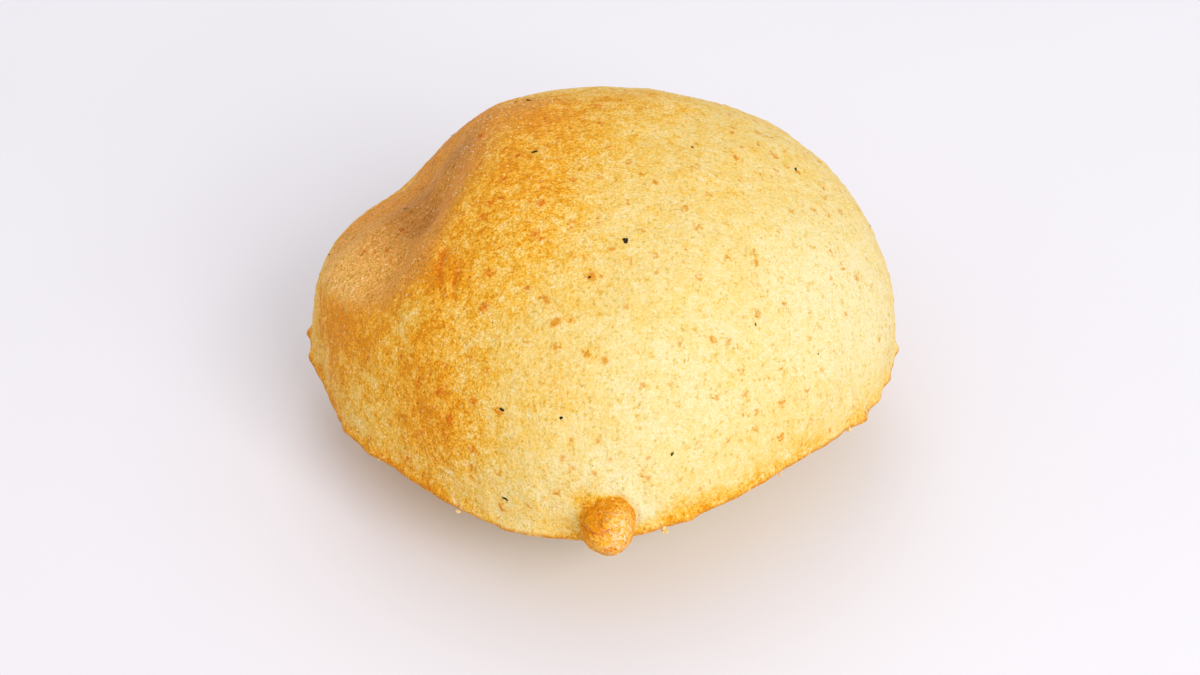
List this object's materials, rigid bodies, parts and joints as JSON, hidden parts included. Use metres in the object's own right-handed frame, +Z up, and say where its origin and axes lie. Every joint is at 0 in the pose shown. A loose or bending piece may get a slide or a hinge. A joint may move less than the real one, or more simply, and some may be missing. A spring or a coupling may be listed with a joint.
{
  "type": "puffed bhatura bread",
  "caption": "Deep-fried leavened bread puffed up like a balloon, with a dent behind one shoulder, a ragged seam round its widest part and a small blister on the seam.",
  "frame": {"origin": "on the table, under the middle of the bread's box", "axes": "+Z up, -Y towards the side with the blister, +X to the right of it; the dent is at the left end, towards -X"},
  "size_m": [0.2416, 0.2452, 0.1343],
  "materials": {
    "fried_crust": "dry, finely grained fried crust, pale gold with orange-brown mottling and flecks, darker along the seam"
  },
  "bodies": {
    "root": {"bhatura": "fried_crust"}
  },
  "joints": []
}
